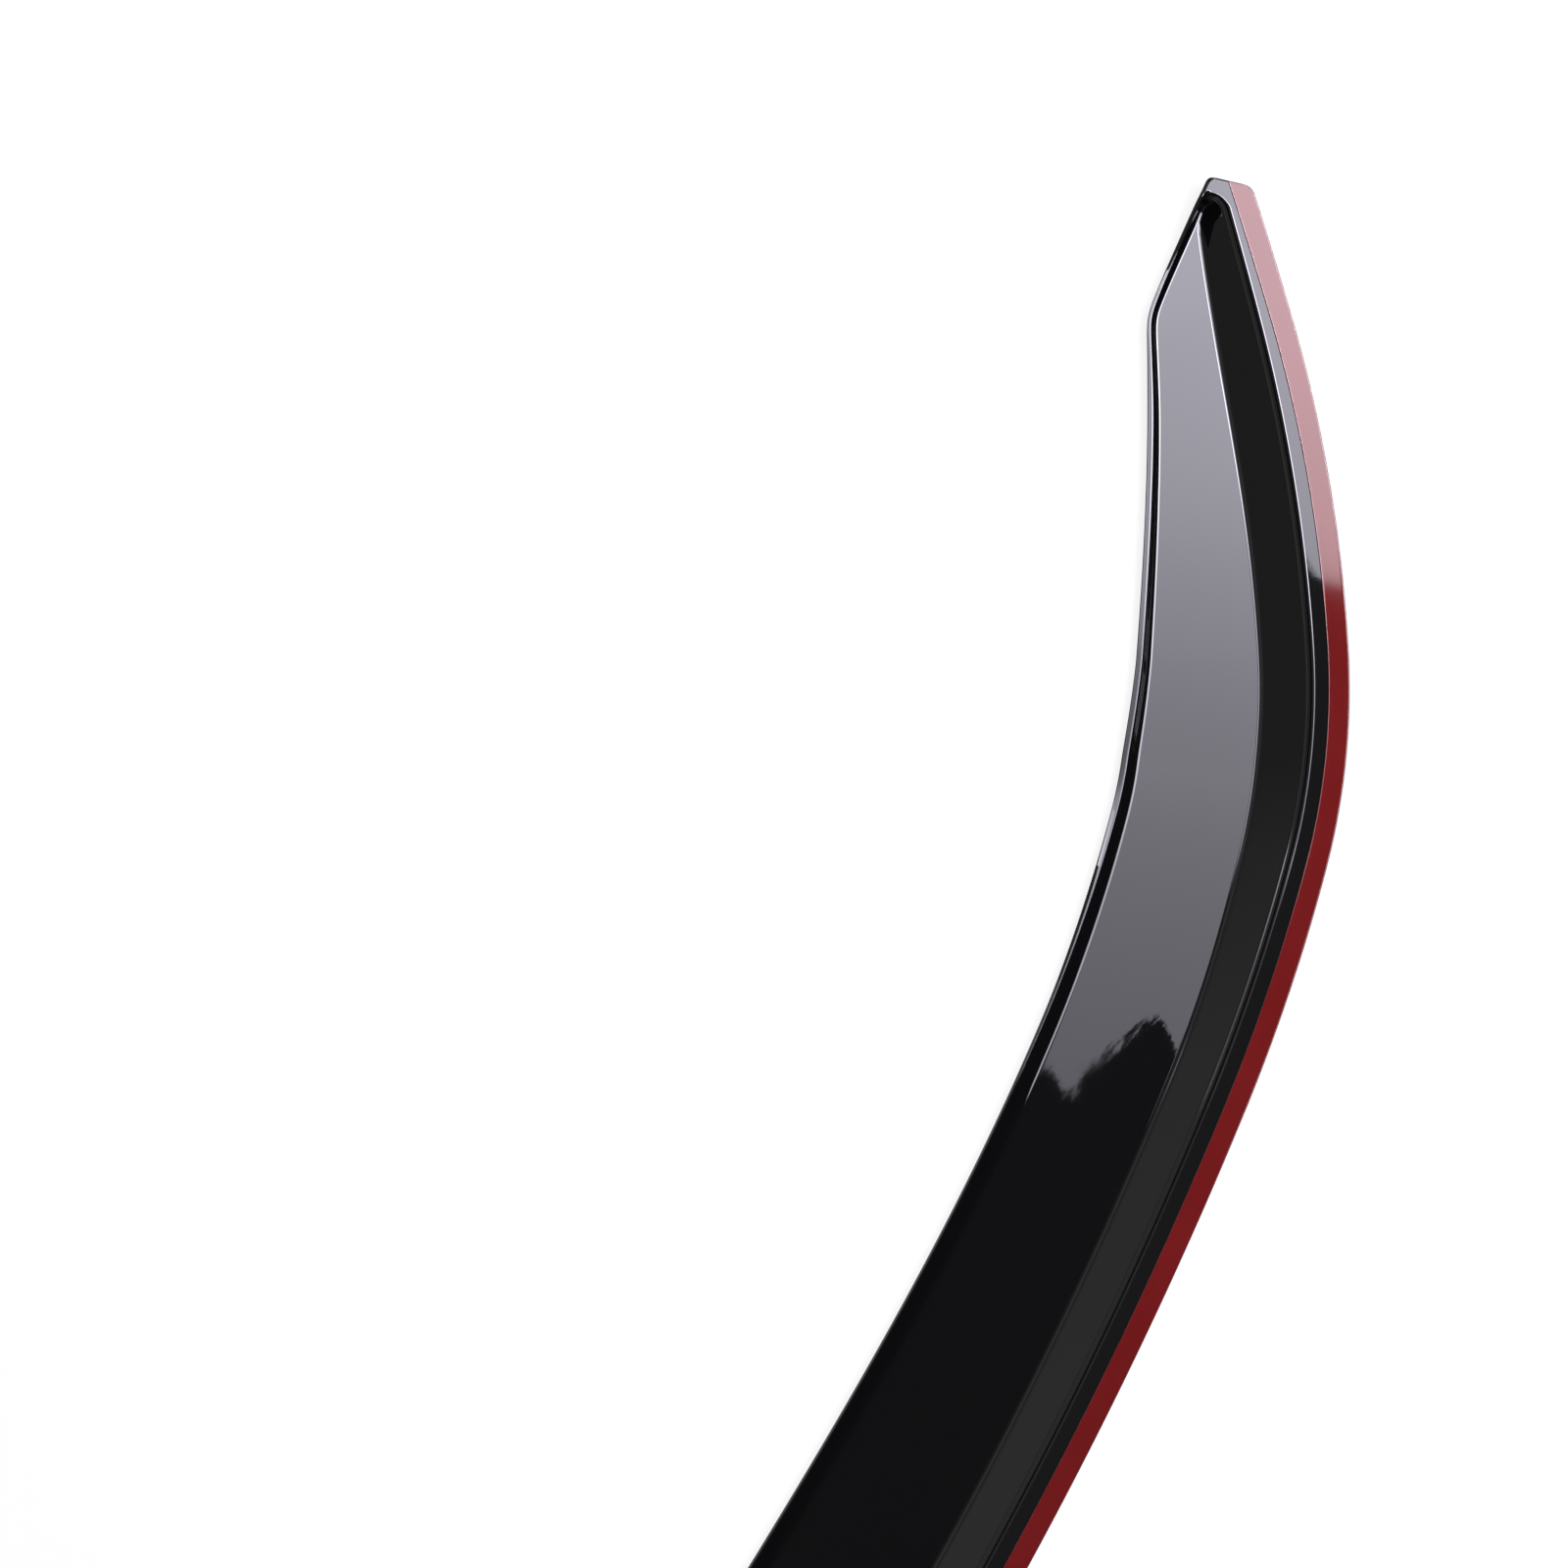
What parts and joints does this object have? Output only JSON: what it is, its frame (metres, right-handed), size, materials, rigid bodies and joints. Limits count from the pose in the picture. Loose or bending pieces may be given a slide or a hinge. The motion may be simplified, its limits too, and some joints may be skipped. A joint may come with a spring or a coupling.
{
  "type": "window rain deflector",
  "caption": "Curved rear side window rain deflector with a pointed tip, taped flange, stepped shoulder, broad blade and turned-in lip.",
  "frame": {"origin": "middle of the adhesive face's width, half-way along the fixing edge", "axes": "+Z out of the adhesive face, towards the door frame; +Y along the strip's chord, towards the pointed rear tip; +X towards the fixing edge, which is the upper edge on the car"},
  "size_m": [0.1596, 0.6607, 0.0151],
  "materials": {
    "shell": "polished black acrylic, moulded",
    "tape": "matt dark grey acrylic foam",
    "liner": "smooth red film"
  },
  "bodies": {
    "root": {"deflector_shell": "shell", "foam_tape": "tape", "release_liner": "liner"}
  },
  "joints": []
}
